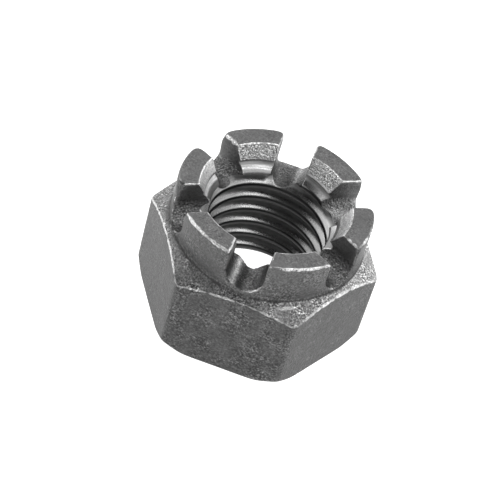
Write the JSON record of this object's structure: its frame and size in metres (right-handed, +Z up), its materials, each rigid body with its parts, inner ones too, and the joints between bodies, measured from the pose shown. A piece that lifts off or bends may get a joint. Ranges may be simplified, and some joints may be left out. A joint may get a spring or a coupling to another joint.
{
  "type": "castle nut",
  "caption": "Hexagon nut with a slotted round crown; a cotter pin through the slots locks it on a coarse-threaded bolt or stub axle.",
  "frame": {"origin": "centre of the bore on the bearing face", "axes": "+Z up the bore from the bearing face to the crown; +X through a corner of the hexagon; Y through the middle of two flats and of two slots"},
  "size_m": [0.0384, 0.0334, 0.0233],
  "materials": {
    "steel": "plain steel, forged cone and flats with machined crown, slots and thread"
  },
  "bodies": {
    "root": {"castle_nut": "steel"}
  },
  "joints": []
}
